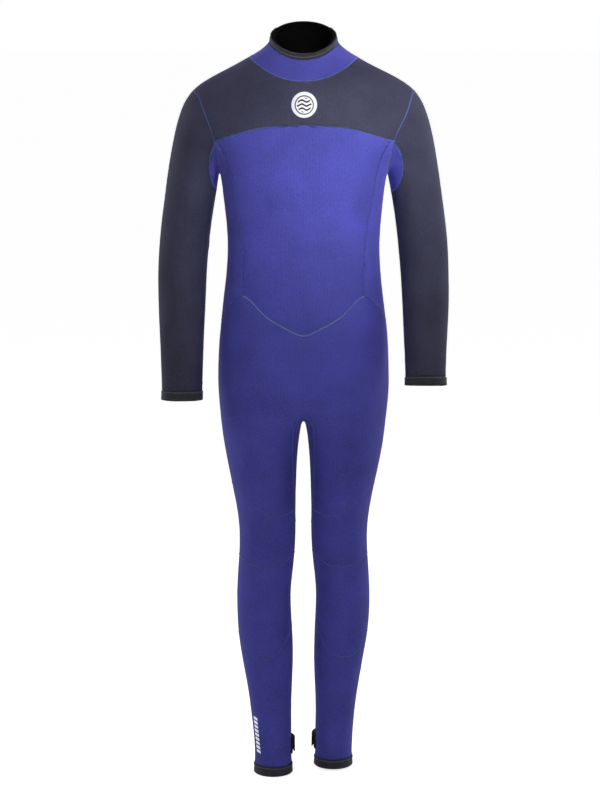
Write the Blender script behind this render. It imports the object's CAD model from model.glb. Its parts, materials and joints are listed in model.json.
"""The looks of a junior winter wetsuit: seamed neoprene panels, thread, bindings, zip and fasteners."""

import json
import logging
import math
from collections.abc import Callable, Iterable
from dataclasses import dataclass, field
from enum import Enum

import bmesh
import bpy
import numpy as np
from mathutils import Matrix, Vector, noise
from mathutils.bvhtree import BVHTree

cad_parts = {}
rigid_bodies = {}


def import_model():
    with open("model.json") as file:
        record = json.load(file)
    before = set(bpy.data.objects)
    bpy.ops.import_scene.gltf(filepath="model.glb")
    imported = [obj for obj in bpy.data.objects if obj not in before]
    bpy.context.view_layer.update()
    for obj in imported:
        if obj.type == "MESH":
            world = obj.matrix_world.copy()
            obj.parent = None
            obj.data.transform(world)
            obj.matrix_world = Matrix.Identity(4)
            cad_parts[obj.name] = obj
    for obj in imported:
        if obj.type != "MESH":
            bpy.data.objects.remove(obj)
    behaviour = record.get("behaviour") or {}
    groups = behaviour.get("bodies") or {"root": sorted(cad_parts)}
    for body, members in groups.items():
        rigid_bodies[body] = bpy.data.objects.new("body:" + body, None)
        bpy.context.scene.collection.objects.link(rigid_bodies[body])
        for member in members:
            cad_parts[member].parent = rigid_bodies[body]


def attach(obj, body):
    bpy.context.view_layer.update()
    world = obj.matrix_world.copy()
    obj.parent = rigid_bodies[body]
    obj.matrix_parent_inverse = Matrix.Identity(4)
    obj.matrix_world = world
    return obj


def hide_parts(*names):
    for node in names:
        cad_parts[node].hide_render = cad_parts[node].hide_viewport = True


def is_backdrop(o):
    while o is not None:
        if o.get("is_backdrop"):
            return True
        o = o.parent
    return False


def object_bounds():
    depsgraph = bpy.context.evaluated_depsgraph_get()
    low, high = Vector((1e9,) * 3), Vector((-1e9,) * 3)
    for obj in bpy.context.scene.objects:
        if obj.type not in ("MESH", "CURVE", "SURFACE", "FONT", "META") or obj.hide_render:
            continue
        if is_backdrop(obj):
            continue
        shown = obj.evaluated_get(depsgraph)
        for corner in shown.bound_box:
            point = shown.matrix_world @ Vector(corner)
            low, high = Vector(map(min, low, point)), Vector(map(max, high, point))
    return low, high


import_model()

LOG = logging.getLogger("wetsuit")
MM = 0.001
SUIT = "suit"
SIDES = ((1, "left"), (-1, "right"))
Field = Callable[[Vector], float]


class Zone(Enum):
    """The stretches of the body that are cut apart before any seam is drawn."""

    COLLAR = 0
    TORSO = 1
    SLEEVE = 2
    LEG = 3
    BINDING = 4


def smooth_curve(points: list[tuple[float, float]]) -> Callable[[float], float]:
    """Draws one smooth curve through points given in mm, straight past both ends.

    Args:
        points: the points, in order of their first value.

    Returns:
        A function in metres that overshoots none of the points.
    """
    xs = [x * MM for x, _ in points]
    ys = [y * MM for _, y in points]
    steps = [(ys[i + 1] - ys[i]) / (xs[i + 1] - xs[i]) for i in range(len(xs) - 1)]
    slopes = [steps[0]]
    for before, after in zip(steps, steps[1:]):
        slopes.append(2 * before * after / (before + after) if before * after > 0 else 0.0)
    slopes.append(steps[-1])

    def value(x: float) -> float:
        """The curve's height at x."""
        if x <= xs[0]:
            return ys[0] + slopes[0] * (x - xs[0])
        if x >= xs[-1]:
            return ys[-1] + slopes[-1] * (x - xs[-1])
        i = max(j for j in range(len(xs) - 1) if xs[j] <= x)
        width = xs[i + 1] - xs[i]
        t = (x - xs[i]) / width
        ease = t * t * (3 - 2 * t)
        bend = slopes[i] * t * (1 - t) ** 2 - slopes[i + 1] * t * t * (1 - t)
        return ys[i] + (ys[i + 1] - ys[i]) * ease + width * bend

    return value


def blend(low: float, high: float, x: float) -> float:
    """0 below low, 1 above high, and smooth between them."""
    t = min(max((x - low) / (high - low), 0.0), 1.0)
    return t * t * (3 - 2 * t)


@dataclass
class BodyForm:
    """The worn shape of the suit, as a coarse cage of rings in mm that is smoothed into one surface."""

    collar: list = field(default_factory=lambda: [
        (53, -55, 50, 2, 32, 55),
        (54, -58, 53, -7, 24, 46),
        (61, -65, 59, -24, 13, 26),
        (84, -78, 76, -42, -1, 2),
    ])
    collar_bow: tuple = (1.25, 1.3, 2.0, 2.0)
    shoulder: tuple = (126, -90, 86, -70, -23, -30)
    trunk: list = field(default_factory=lambda: [
        (130, -97, 84, -245, -240, -240),
        (122, -90, 83, -318, -316, -316),
        (131, -88, 87, -395, -392, -392),
        (140, -90, 102, -470, -465, -465),
        (142.5, -87, 110, -533, -527, -528),
        (141, -78, 98, -567, -572, -574),
    ])
    crotch: tuple = ((48, -587), (0, -590), (-45, -584))
    chest: tuple = ((-100, -66), (-124, -98), (-150, -130), (-176, -162), (-205, -196))
    chest_x: tuple = (0, 55, 110)
    chest_front_y: tuple = (
        (-96, -93, -70), (-99, -97, -84), (-101, -99, -88), (-101, -99, -88), (-99, -98, -86),
    )
    chest_back_y: tuple = ((87, 86, 68), (86, 86, 80), (86, 87, 82), (86, 87, 80), (86, 86, 78))
    arm: list = field(default_factory=lambda: [
        (136, -186, 188, -51, 0, 62),
        (140, -202, 208, -108, 1, 53),
        (143.5, -222, 219, -168, 2, 48),
        (151, -262, 230, -240, 4, 44),
        (159, -330, 240.5, -328, 4, 41),
        (163.5, -420, 240, -420, -2, 38),
        (166.5, -505, 234.5, -505, -12, 31),
        (167, -546, 233, -546, -18, 27),
        (166.5, -556, 234, -556, -20, 27),
    ])
    leg: list = field(default_factory=lambda: [
        (-635, 8.5, 134, -78, 85),
        (-700, 12.5, 121, -73, 64),
        (-765, 13, 106, -65, 47),
        (-830, 13.5, 106.5, -56, 44),
        (-902, 24.5, 114, -43, 63),
        (-980, 16, 108, -38, 56),
        (-1065, 20.5, 90.5, -34, 42),
        (-1145, 20.5, 82, -31, 41),
        (-1186, 19.5, 82, -30, 43),
        (-1197, 19, 82.5, -30, 43),
    ])
    elbow_z: float = -330
    elbow_bend: dict = field(default_factory=lambda: {-1: math.radians(4), 1: math.radians(10)})
    sleeve_drop: dict = field(default_factory=lambda: {-1: -11, 1: 11})
    stride: dict = field(default_factory=lambda: {-1: -34, 1: 0})
    foot_drop: dict = field(default_factory=lambda: {-1: -3, 1: 0})
    round_16: float = 6 / (4 + 2 * math.cos(math.radians(22.5)))
    round_12: float = 6 / (4 + 2 * math.cos(math.radians(30)))
    trunk_column: float = 47 * MM
    arm_column: float = 21 * MM
    leg_column: float = 27 * MM

    def trunk_ring(self, ring: tuple, side: int, bow: float = 2.0) -> list[Vector]:
        """The nine points of half a ring round the trunk, from the front centre to the back centre.

        Args:
            ring: half width, front and back depth, and the heights at the front, side and back.
            side: 1 for the wearer's left, -1 for the right.
            bow: how sharply the ring turns down or up at its sides. Low is round.

        Returns:
            The points, in metres.
        """
        half_width, front, back, front_z, side_z, back_z = ring
        middle = (front + back) / 2
        depth = (back - front) / 2 * self.round_16
        points = []
        for k in range(9):
            angle = math.radians(22.5 * k)
            lean = math.cos(angle)
            x = half_width * self.round_16 * math.sin(angle) ** 0.92 if 0 < k < 8 else 0.0
            y = middle - depth * math.copysign(abs(lean) ** 0.92, lean)
            z = side_z + ((front_z if lean > 0 else back_z) - side_z) * abs(lean) ** bow
            points.append(Vector((side * x, y, z)) * MM)
        return points

    def arm_ring(self, ring: tuple, side: int, growth: float) -> list[Vector]:
        """Twelve points round the arm, from the outermost round the back to the front."""
        inner_x, inner_z, outer_x, outer_z, middle_y, depth = ring
        centre = Vector(((inner_x + outer_x) / 2, middle_y, (inner_z + outer_z) / 2))
        out = Vector(((outer_x - inner_x) / 2, 0, (outer_z - inner_z) / 2)) * growth
        points = []
        for k in range(12):
            angle = math.radians(30 * k)
            turned = centre + out * math.cos(angle) + Vector((0, depth * growth * math.sin(angle), 0))
            points.append(Vector((side * turned.x, turned.y, turned.z)) * MM)
        return points

    def bend_elbow(self, points: list[Vector], side: int, ring: tuple) -> list[Vector]:
        """Swings a forearm ring forwards about the elbow, and lets a long sleeve hang lower."""
        elbow = Vector((0, 4, self.elbow_z)) * MM
        below = max(self.elbow_z - (ring[1] + ring[3]) / 2, 0)
        turn = Matrix.Rotation(-self.elbow_bend[side] * blend(-20, 70, below), 3, "X")
        drop = Vector((0, 0, self.sleeve_drop[side] * MM * below / 226))
        return [elbow + turn @ (point - elbow) + drop for point in points]

    def leg_ring(self, ring: tuple, side: int) -> list[Vector]:
        """Twelve points round the leg, in the order of the ring where the trunk splits in two."""
        z, inner_x, outer_x, front, back = ring
        below = (-600 - z) / 600
        middle_y = (front + back) / 2 + self.stride[side] * below
        middle_x = (inner_x + outer_x) / 2
        wide = (outer_x - inner_x) / 2 * self.round_12
        deep = (back - front) / 2 * self.round_12
        points = []
        for k in range(12):
            angle = math.radians(30 * (k - 4))
            x = middle_x + wide * math.cos(angle)
            y = middle_y + deep * math.sin(angle)
            points.append(Vector((side * x, y, z + self.foot_drop[side] * below)) * MM)
        return points

    def chest_rows(self, side: int, armhole: list[Vector]) -> list[list]:
        """The rows of nine points between shoulder and armpit, joined to the armhole ring."""
        beside = [(11, 0, 1), (10, None, 2), (9, None, 3), (8, None, 4), (7, 6, 5)]
        rows = []
        for row, (front_z, back_z) in enumerate(self.chest):
            front_edge, middle, back_edge = beside[row]
            points: list = []
            for column, x in enumerate(self.chest_x):
                z = front_z * MM + (armhole[front_edge].z - front_z * MM) * (x / 150) ** 2
                points.append(Vector((side * x * MM, self.chest_front_y[row][column] * MM, z)))
            points.append(armhole[front_edge])
            points.append(armhole[middle] if middle is not None else None)
            points.append(armhole[back_edge])
            for column in (2, 1, 0):
                x = self.chest_x[column]
                z = back_z * MM + (armhole[back_edge].z - back_z * MM) * (x / 150) ** 2
                points.append(Vector((side * x * MM, self.chest_back_y[row][column] * MM, z)))
            rows.append(points)
        return rows

    def surface(self, levels: int) -> bmesh.types.BMesh:
        """Builds and smooths the whole cage.

        Args:
            levels: how many times the cage is subdivided.

        Returns:
            The open surface, whose faces carry their zone as a material index and a UV map in metres.
        """
        cage = Cage()
        for side in (-1, 1):
            self.add_side(cage, side)
        mesh = bpy.data.meshes.new("body")
        cage.mesh.to_mesh(mesh)
        cage.mesh.free()
        body = bpy.data.objects.new("body", mesh)
        bpy.context.scene.collection.objects.link(body)
        smooth = body.modifiers.new("smooth", "SUBSURF")
        smooth.levels = levels
        smooth.render_levels = levels
        smooth.uv_smooth = "NONE"
        graph = bpy.context.evaluated_depsgraph_get()
        smoothed = bpy.data.meshes.new_from_object(body.evaluated_get(graph))
        made = bmesh.new()
        made.from_mesh(smoothed)
        bpy.data.objects.remove(body)
        bpy.data.meshes.remove(smoothed)
        return made

    def add_side(self, cage: "Cage", side: int) -> None:
        """Adds one half of the suit: collar, shoulder, chest, trunk, arm and leg."""
        collar = [self.trunk_ring(ring, side, bow) for ring, bow in zip(self.collar, self.collar_bow)]
        armhole = self.arm_ring(self.arm[0], side, 1.0)
        chest = self.chest_rows(side, armhole)
        trunk = [self.trunk_ring(ring, side) for ring in self.trunk]
        cage.rows(collar[0], collar[1], Zone.BINDING, side, self.trunk_column)
        for upper, lower in zip(collar[1:], collar[2:]):
            cage.rows(upper, lower, Zone.COLLAR, side, self.trunk_column)
        torso = [collar[-1], self.trunk_ring(self.shoulder, side)] + chest + trunk
        for upper, lower in zip(torso, torso[1:]):
            cage.rows(upper, lower, Zone.TORSO, side, self.trunk_column)
        arm = [armhole]
        for ring in self.arm[1:]:
            arm.append(self.bend_elbow(self.arm_ring(ring, side, self.round_12), side, ring))
        for upper, lower in zip(arm, arm[1:]):
            zone = Zone.BINDING if lower is arm[-1] else Zone.SLEEVE
            cage.rows(upper, lower, zone, side, self.arm_column, closed=True)
        crotch = [Vector((0, y, z)) * MM for y, z in self.crotch]
        leg = [trunk[-1] + crotch] + [self.leg_ring(ring, side) for ring in self.leg]
        for upper, lower in zip(leg, leg[1:]):
            zone = Zone.BINDING if lower is leg[-1] else Zone.LEG
            cage.rows(upper, lower, zone, side, self.leg_column, closed=True)


class Cage:
    """The coarse quads of the body. Points that fall together are one vertex."""

    def __init__(self) -> None:
        """Starts an empty cage with a UV map."""
        self.mesh = bmesh.new()
        self.uv = self.mesh.loops.layers.uv.new("cloth")
        self.known: dict = {}

    def vertex(self, point: Vector) -> bmesh.types.BMVert:
        """The vertex at a point, made if it isn't there yet."""
        key = tuple(round(value, 6) for value in point)
        if key not in self.known:
            self.known[key] = self.mesh.verts.new(point)
        return self.known[key]

    def rows(
        self, upper: list, lower: list, zone: Zone, side: int, column: float, closed: bool = False,
    ) -> None:
        """Adds quads between two rows of points, leaving out any that would need a missing point.

        Args:
            upper: the points of the higher row.
            lower: the points of the lower row.
            zone: the zone of the new faces.
            side: 1 on the wearer's left, -1 on the right.
            column: how wide a column of cloth is in the UV map, in metres.
            closed: whether the last point joins the first.
        """
        for k in range(len(upper) if closed else len(upper) - 1):
            nxt = (k + 1) % len(upper)
            corners = [upper[k], lower[k], lower[nxt], upper[nxt]]
            if None in corners:
                continue
            across = [k * column, k * column, (k + 1) * column, (k + 1) * column]
            cloth = [(side * u, point.z) for u, point in zip(across, corners)]
            if side < 0:
                corners.reverse()
                cloth.reverse()
            face = self.mesh.faces.new([self.vertex(point) for point in corners])
            face.material_index = zone.value
            for loop, place in zip(face.loops, cloth):
                loop[self.uv].uv = place


def armhole_shifts() -> dict[int, Callable[[float], float]]:
    """How far each front armhole slides towards +X at each height, by side."""
    return {
        -1: smooth_curve([(-205, 0), (-170, 3), (-130, 13), (-98, 14), (-70, 11), (-40, 0)]),
        1: smooth_curve([(-205, 0), (-170, -3), (-130, -9), (-98, -3), (-70, 3), (-40, 5), (-15, 0)]),
    }


@dataclass
class Armholes:
    """The lines where the sleeves are sewn to the body, eased into smooth curves."""

    shifts: dict = field(default_factory=armhole_shifts)
    rounds: int = 14
    pull: float = 0.5
    foot: float = -205 * MM
    top: float = -15 * MM
    middle_x: float = 138.0
    reach_x: float = 72.0
    front_y: float = 4.0
    fade_y: float = 34.0

    def shape(self, surface: bmesh.types.BMesh) -> None:
        """Smooths both armholes and slides their fronts into place."""
        self.relax(surface)
        self.slide(surface)

    def relax(self, surface: bmesh.types.BMesh) -> None:
        """Smooths each armhole along the cloth, since it starts with a kink at every ring point."""
        line: dict = {}
        for edge in surface.edges:
            kinds = [face.material_index for face in edge.link_faces]
            if len(kinds) == 2 and Zone.SLEEVE.value in kinds and Zone.TORSO.value in kinds:
                one, two = edge.verts
                line.setdefault(one, []).append(two)
                line.setdefault(two, []).append(one)
        surface.normal_update()
        normals = {vert: vert.normal.copy() for vert in line}
        for _ in range(self.rounds):
            moves = {}
            for vert, beside in line.items():
                pull = sum((other.co for other in beside), Vector()) / len(beside) - vert.co
                moves[vert] = (pull - normals[vert] * pull.dot(normals[vert])) * self.pull
            for vert, move in moves.items():
                vert.co += move

    def slide(self, surface: bmesh.types.BMesh) -> None:
        """Slides the front armholes along the cloth without changing its shape."""
        shape = BVHTree.FromBMesh(surface)
        for vert in surface.verts:
            p = vert.co
            if not self.foot < p.z < self.top or p.y > -self.front_y * MM:
                continue
            near = max(0.0, 1.0 - abs(abs(p.x) / MM - self.middle_x) / self.reach_x)
            near = near * near * (3 - 2 * near)
            front = min(1.0, max(0.0, (-p.y / MM - self.front_y) / self.fade_y))
            shift = self.shifts[1 if p.x > 0 else -1](p.z) * near * front
            if shift:
                vert.co = shape.find_nearest(p + Vector((shift, 0, 0)))[0]


@dataclass
class Drape:
    """The soft unevenness of worn foam cloth: broad dents, and creases where a limb would bend."""

    broad: float = 0.9 * MM
    broad_size: float = 70 * MM
    fine: float = 0.22 * MM
    fine_size: float = 14 * MM
    # Each crease: centre x, y, z, reach, slope of its lines, spacing and depth, in mm.
    creases: tuple = (
        (165, 36, -196, 48, 0.5, 15, 0.9),
        (196, -34, -335, 46, 0.25, 14, 0.9),
        (40, -62, -600, 56, -0.8, 19, 0.8),
        (60, 48, -800, 52, 0.1, 14, 1.1),
        (110, -40, -325, 44, 0.3, 20, 0.5),
        (60, 70, -590, 58, 0.35, 20, 1.0),
    )

    def height(self, point: Vector) -> float:
        """How far the cloth stands out at a point, in metres."""
        rise = self.broad * noise.noise(point / self.broad_size)
        rise += self.fine * noise.noise(point / self.fine_size + Vector((7.3, 1.1, 4.2)))
        for x, y, z, reach, slope, spacing, depth in self.creases:
            centre = Vector((math.copysign(x, point.x), y, z)) * MM
            away = (point - centre).length / (reach * MM)
            if away < 1:
                wave = (point.z + slope * abs(point.x) + 0.004 * noise.noise(point * 40)) / (spacing * MM)
                rise += depth * MM * (1 - away * away) ** 2 * math.sin(2 * math.pi * wave)
        return rise

    def shape(self, surface: bmesh.types.BMesh) -> None:
        """Moves every vertex out by the cloth's unevenness, leaving the zip's straight bed flat."""
        surface.normal_update()
        moves = []
        for vert in surface.verts:
            bed = vert.co.y > 0.03 and vert.co.z > -0.44
            calm = blend(0.02, 0.06, abs(vert.co.x)) if bed else 1.0
            moves.append(vert.normal * self.height(vert.co) * calm)
        for vert, move in zip(surface.verts, moves):
            vert.co += move


class Cloth:
    """The body surface while its pieces are cut. Every face carries the number of its piece."""

    def __init__(self, surface: bmesh.types.BMesh, snap: float = 0.22) -> None:
        """Starts with no piece named.

        Args:
            surface: the body surface.
            snap: the share of an edge within which a vertex moves to the seam instead of a cut.
        """
        self.mesh = surface
        self.snap = snap
        self.names: list[str] = []
        self.tag = surface.faces.layers.int.new("piece")

    def number(self, name: str) -> int:
        """The number that stands for a piece's name."""
        if name not in self.names:
            self.names.append(name)
        return self.names.index(name)

    def rename(self, name: str, test: Callable[[bmesh.types.BMFace], bool]) -> None:
        """Gives a name to every face that passes a test."""
        number = self.number(name)
        for face in self.mesh.faces:
            if test(face):
                face[self.tag] = number

    def faces(self, name: str) -> list[bmesh.types.BMFace]:
        """The faces of one piece."""
        number = self.number(name)
        return [face for face in self.mesh.faces if face[self.tag] == number]

    def cut(self, name: str, line: Field) -> None:
        """Cuts a piece where the field is zero, first moving a vertex that is nearly there."""
        region = self.faces(name)
        values = {vert: line(vert.co) for vert in {v for face in region for v in face.verts}}
        edges = list({edge: None for face in region for edge in face.edges})
        for edge in edges:
            one, two = edge.verts
            if values[one] * values[two] >= 0:
                continue
            share = values[one] / (values[one] - values[two])
            near = one if share < self.snap else two if share > 1 - self.snap else None
            if near is not None and not near.is_boundary:
                near.co = one.co.lerp(two.co, share)
                values[near] = 0.0
        for edge in edges:
            one, two = edge.verts
            if values[one] * values[two] < 0:
                share = values[one] / (values[one] - values[two])
                _, vert = bmesh.utils.edge_split(edge, one, share)
                values[vert] = 0.0
        for face in region:
            marked = [vert for vert in face.verts if values[vert] == 0.0]
            if len(marked) != 2:
                continue
            if not any(edge.other_vert(marked[0]) is marked[1] for edge in marked[0].link_edges):
                bmesh.utils.face_split(face, marked[0], marked[1])

    def split(self, name: str, line: Field, above: str, below: str | None = None) -> None:
        """Cuts one piece in two.

        Args:
            name: the piece to cut.
            line: a field that is zero along the seam.
            above: the new name where the field is positive.
            below: the new name elsewhere, or None to keep the old one.
        """
        self.cut(name, line)
        for face in self.faces(name):
            if line(face.calc_center_median()) > 0:
                face[self.tag] = self.number(above)
            elif below is not None:
                face[self.tag] = self.number(below)

    def sides(self, name: str) -> None:
        """Tells the wearer's left piece from the right one."""
        for face in self.faces(name):
            word = "left" if face.calc_center_median().x > 0 else "right"
            face[self.tag] = self.number(f"{name}_{word}")

    def islands(self, name: str) -> list[set]:
        """The stretches of one piece that no shared edge joins, the largest first."""
        left = set(self.faces(name))
        found = []
        while left:
            island = {left.pop()}
            growing = list(island)
            while growing:
                for edge in growing.pop().edges:
                    fresh = [face for face in edge.link_faces if face in left]
                    left.difference_update(fresh)
                    island.update(fresh)
                    growing.extend(fresh)
            found.append(island)
        return sorted(found, key=lambda island: -sum(face.calc_area() for face in island))

    def absorb_slivers(self) -> None:
        """Gives each scrap that a cut left on its own to the neighbour with the longest shared border."""
        for name in list(self.names):
            for scrap in self.islands(name)[1:]:
                borders: dict[int, float] = {}
                for face in scrap:
                    for edge in face.edges:
                        for other in edge.link_faces:
                            if other not in scrap:
                                tag = other[self.tag]
                                borders[tag] = borders.get(tag, 0.0) + edge.calc_length()
                if borders:
                    winner = max(borders, key=borders.get)
                    for face in scrap:
                        face[self.tag] = winner


@dataclass(frozen=True)
class Roll:
    """How the raw edge of a piece rounds over, in two narrow bands along it."""

    edge_band: float = 0.5 * MM
    inner_band: float = 0.9 * MM
    edge_drop: float = 0.75 * MM
    band_drop: float = 0.22 * MM
    gap: float = 0.15 * MM


CLOTH_ROLL = Roll()
BINDING_ROLL = Roll(1.0 * MM, 1.4 * MM, 1.5 * MM, 0.45 * MM, 0.1 * MM)
PATCH_ROLL = Roll(0.3 * MM, 0.5 * MM, 0.5 * MM, 0.15 * MM, 0.0)


def border_shift(vert: bmesh.types.BMVert, normal: Vector) -> Vector:
    """The direction that takes a border vertex into its own piece."""
    shifts = []
    for edge in vert.link_edges:
        if not edge.is_boundary:
            continue
        along = (edge.other_vert(vert).co - vert.co).normalized()
        inward = normal.cross(along).normalized()
        if inward.dot(edge.link_faces[0].calc_center_median() - vert.co) < 0:
            inward.negate()
        shifts.append(inward)
    if len(shifts) < 2:
        return Vector()
    together = shifts[0] + shifts[1]
    return together / max(together.length_squared / 2, 0.3)


def shell(
    surface: bmesh.types.BMesh, faces: Iterable, outer: float, inner: float, roll: Roll,
) -> bpy.types.Mesh:
    """Makes one closed shell of some faces of a surface.

    Args:
        surface: the surface, with its shared normals stored.
        faces: the faces that the piece takes.
        outer: how far the outside stands from the surface.
        inner: how far the inside stands from it.
        roll: how the edge rounds over.

    Returns:
        A mesh whose outside has material index 0 and whose inside and edges have 1.
    """
    normals = surface.verts.layers.float_vector["normal"]
    cloth_map = surface.loops.layers.uv["cloth"]
    sheet = bmesh.new()
    layer = sheet.verts.layers.float_vector.new("normal")
    uv = sheet.loops.layers.uv.new("cloth")
    source: dict = {}
    for face in faces:
        for vert in face.verts:
            if vert not in source:
                source[vert] = sheet.verts.new(vert.co)
                source[vert][layer] = vert[normals]
        made = sheet.faces.new([source[vert] for vert in face.verts])
        for loop, old in zip(made.loops, face.loops):
            loop[uv].uv = old[cloth_map].uv
    sheet.normal_update()
    shifts = {vert: border_shift(vert, Vector(vert[layer])) for vert in sheet.verts if vert.is_boundary}
    for vert, shift in shifts.items():
        vert.co += shift * roll.gap
    drops = band_drops(sheet, roll)
    for face in sheet.faces:
        face.material_index = 0
    tops = set(sheet.faces)
    made = bmesh.ops.extrude_face_region(sheet, geom=sheet.faces[:], use_keep_orig=True)
    under = [item for item in made["geom"] if isinstance(item, bmesh.types.BMVert)]
    hidden = set(under)
    for vert in sheet.verts:
        if vert not in hidden:
            vert.co += Vector(vert[layer]) * (outer - drops.get(vert, 0.0))
    for vert in under:
        vert.co += Vector(vert[layer]) * inner
    for face in sheet.faces:
        face.smooth = True
        face.material_index = 0 if face in tops else 1
    bmesh.ops.recalc_face_normals(sheet, faces=sheet.faces[:])
    if sheet.calc_volume(signed=True) < 0:
        bmesh.ops.reverse_faces(sheet, faces=sheet.faces[:])
    mesh = bpy.data.meshes.new("shell")
    sheet.to_mesh(mesh)
    sheet.free()
    return mesh


def band_drops(sheet: bmesh.types.BMesh, roll: Roll) -> dict:
    """Adds the two bands along the border of an open sheet.

    Args:
        sheet: the open sheet.
        roll: the widths of the bands and how far they drop.

    Returns:
        How far each vertex of the bands sinks below the cloth.
    """
    first = bmesh.ops.inset_region(
        sheet, faces=sheet.faces[:], thickness=roll.edge_band, use_boundary=True, use_even_offset=False
    )["faces"]
    taken = set(first)
    rest = [face for face in sheet.faces if face not in taken]
    bmesh.ops.inset_region(sheet, faces=rest, thickness=roll.inner_band, use_even_offset=False)
    drops = {vert: roll.band_drop for face in first for vert in face.verts}
    for vert in sheet.verts:
        if vert.is_boundary:
            drops[vert] = roll.edge_drop
    return drops


def store_normals(surface: bmesh.types.BMesh) -> None:
    """Keeps every vertex's normal, so that all pieces thicken the same way along a shared seam."""
    surface.normal_update()
    layer = surface.verts.layers.float_vector.new("normal")
    for vert in surface.verts:
        vert[layer] = vert.normal.copy()


def swatch(surface: bmesh.types.BMesh, zones: tuple, low: tuple, high: tuple, cuts: int) -> bmesh.types.BMesh:
    """Copies a small area of the surface and gives it finer faces.

    Args:
        surface: the whole surface.
        zones: the zones that the area may lie on.
        low: the lowest corner of the area, in mm.
        high: its highest corner, in mm.
        cuts: how many times each edge is cut.

    Returns:
        The area as its own surface, with its normals stored.
    """
    wanted = {zone.value for zone in zones}
    cloth_map = surface.loops.layers.uv["cloth"]
    small = bmesh.new()
    uv = small.loops.layers.uv.new("cloth")
    made: dict = {}
    for face in surface.faces:
        centre = face.calc_center_median() / MM
        if face.material_index not in wanted or not all(a < c < b for a, c, b in zip(low, centre, high)):
            continue
        for vert in face.verts:
            if vert not in made:
                made[vert] = small.verts.new(vert.co)
        new = small.faces.new([made[vert] for vert in face.verts])
        for loop, old in zip(new.loops, face.loops):
            loop[uv].uv = old[cloth_map].uv
    bmesh.ops.subdivide_edges(small, edges=small.edges[:], cuts=cuts, use_grid_fill=True)
    store_normals(small)
    return small


def patch(area: bmesh.types.BMesh, limits: list, outer: float, inner: float, roll: Roll) -> bpy.types.Mesh:
    """A thin piece that lies along the body.

    Args:
        area: the swatch that it is cut from, which is used up.
        limits: fields that are all positive inside the piece.
        outer: how far its outside stands from the body, in metres.
        inner: how far its inside stands from the body.
        roll: how its edge rounds over.

    Returns:
        The closed mesh.
    """
    cloth = Cloth(area, 0.01)
    cloth.rename("patch", lambda face: True)
    for limit in limits:
        cloth.split("patch", limit, "patch", "rest")
    mesh = shell(area, cloth.faces("patch"), outer, inner, roll)
    area.free()
    return mesh


@dataclass
class SeamPath:
    """A line of points along a seam, with the way out of the cloth at each."""

    points: np.ndarray
    normals: np.ndarray

    def resampled(self, step: float) -> "SeamPath":
        """The same line with evenly spaced points, in metres apart."""
        ahead = np.linalg.norm(np.diff(self.points, axis=0), axis=1)
        length = np.concatenate([[0.0], np.cumsum(ahead)])
        count = max(int(length[-1] / step), 2)
        places = np.linspace(0.0, length[-1], count + 1)
        points = np.stack([np.interp(places, length, self.points[:, axis]) for axis in range(3)], axis=1)
        normals = np.stack([np.interp(places, length, self.normals[:, axis]) for axis in range(3)], axis=1)
        normals /= np.maximum(np.linalg.norm(normals, axis=1, keepdims=True), 1e-9)
        return SeamPath(points, normals)

    def smoothed(self, rounds: int) -> "SeamPath":
        """The same line with its small kinks averaged out and its ends kept."""
        points = self.points.copy()
        for _ in range(rounds):
            points[1:-1] = (points[:-2] + 2 * points[1:-1] + points[2:]) / 4
        return SeamPath(points, self.normals)

    def shifted(self, across: float) -> "SeamPath":
        """A line that runs beside this one, the given distance to its side."""
        along = np.gradient(self.points, axis=0)
        side = np.cross(self.normals, along)
        side /= np.maximum(np.linalg.norm(side, axis=1, keepdims=True), 1e-9)
        return SeamPath(self.points + side * across, self.normals)


def seam_paths(cloth: Cloth) -> dict[tuple[str, str], list[SeamPath]]:
    """Finds where the pieces of a cut surface meet.

    Args:
        cloth: the cut surface, with its normals stored.

    Returns:
        The lines between each pair of pieces, by the pair's names in alphabetical order.
    """
    normals = cloth.mesh.verts.layers.float_vector["normal"]
    borders: dict[tuple[str, str], dict] = {}
    for edge in cloth.mesh.edges:
        if len(edge.link_faces) != 2:
            continue
        names = sorted(cloth.names[face[cloth.tag]] for face in edge.link_faces)
        if names[0] != names[1]:
            links = borders.setdefault((names[0], names[1]), {})
            one, two = edge.verts
            links.setdefault(one, []).append(two)
            links.setdefault(two, []).append(one)
    found = {}
    for pair, links in borders.items():
        found[pair] = []
        for chain in chains(links):
            points = np.array([tuple(vert.co) for vert in chain])
            out = np.array([tuple(vert[normals]) for vert in chain])
            found[pair].append(SeamPath(points, out))
    return found


def chains(links: dict) -> list[list]:
    """Puts linked vertices in order, as lines that end at an end or come back to their start."""
    left = {vert: list(others) for vert, others in links.items()}
    order = sorted(left, key=lambda vert: (len(left[vert]) == 2, tuple(vert.co)))
    found = []
    for start in order:
        while left[start]:
            chain = [start]
            while left[chain[-1]]:
                here = chain[-1]
                nxt = left[here].pop()
                left[nxt].remove(here)
                chain.append(nxt)
            found.append(chain)
    return [chain for chain in found if len(chain) > 2]


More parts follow.
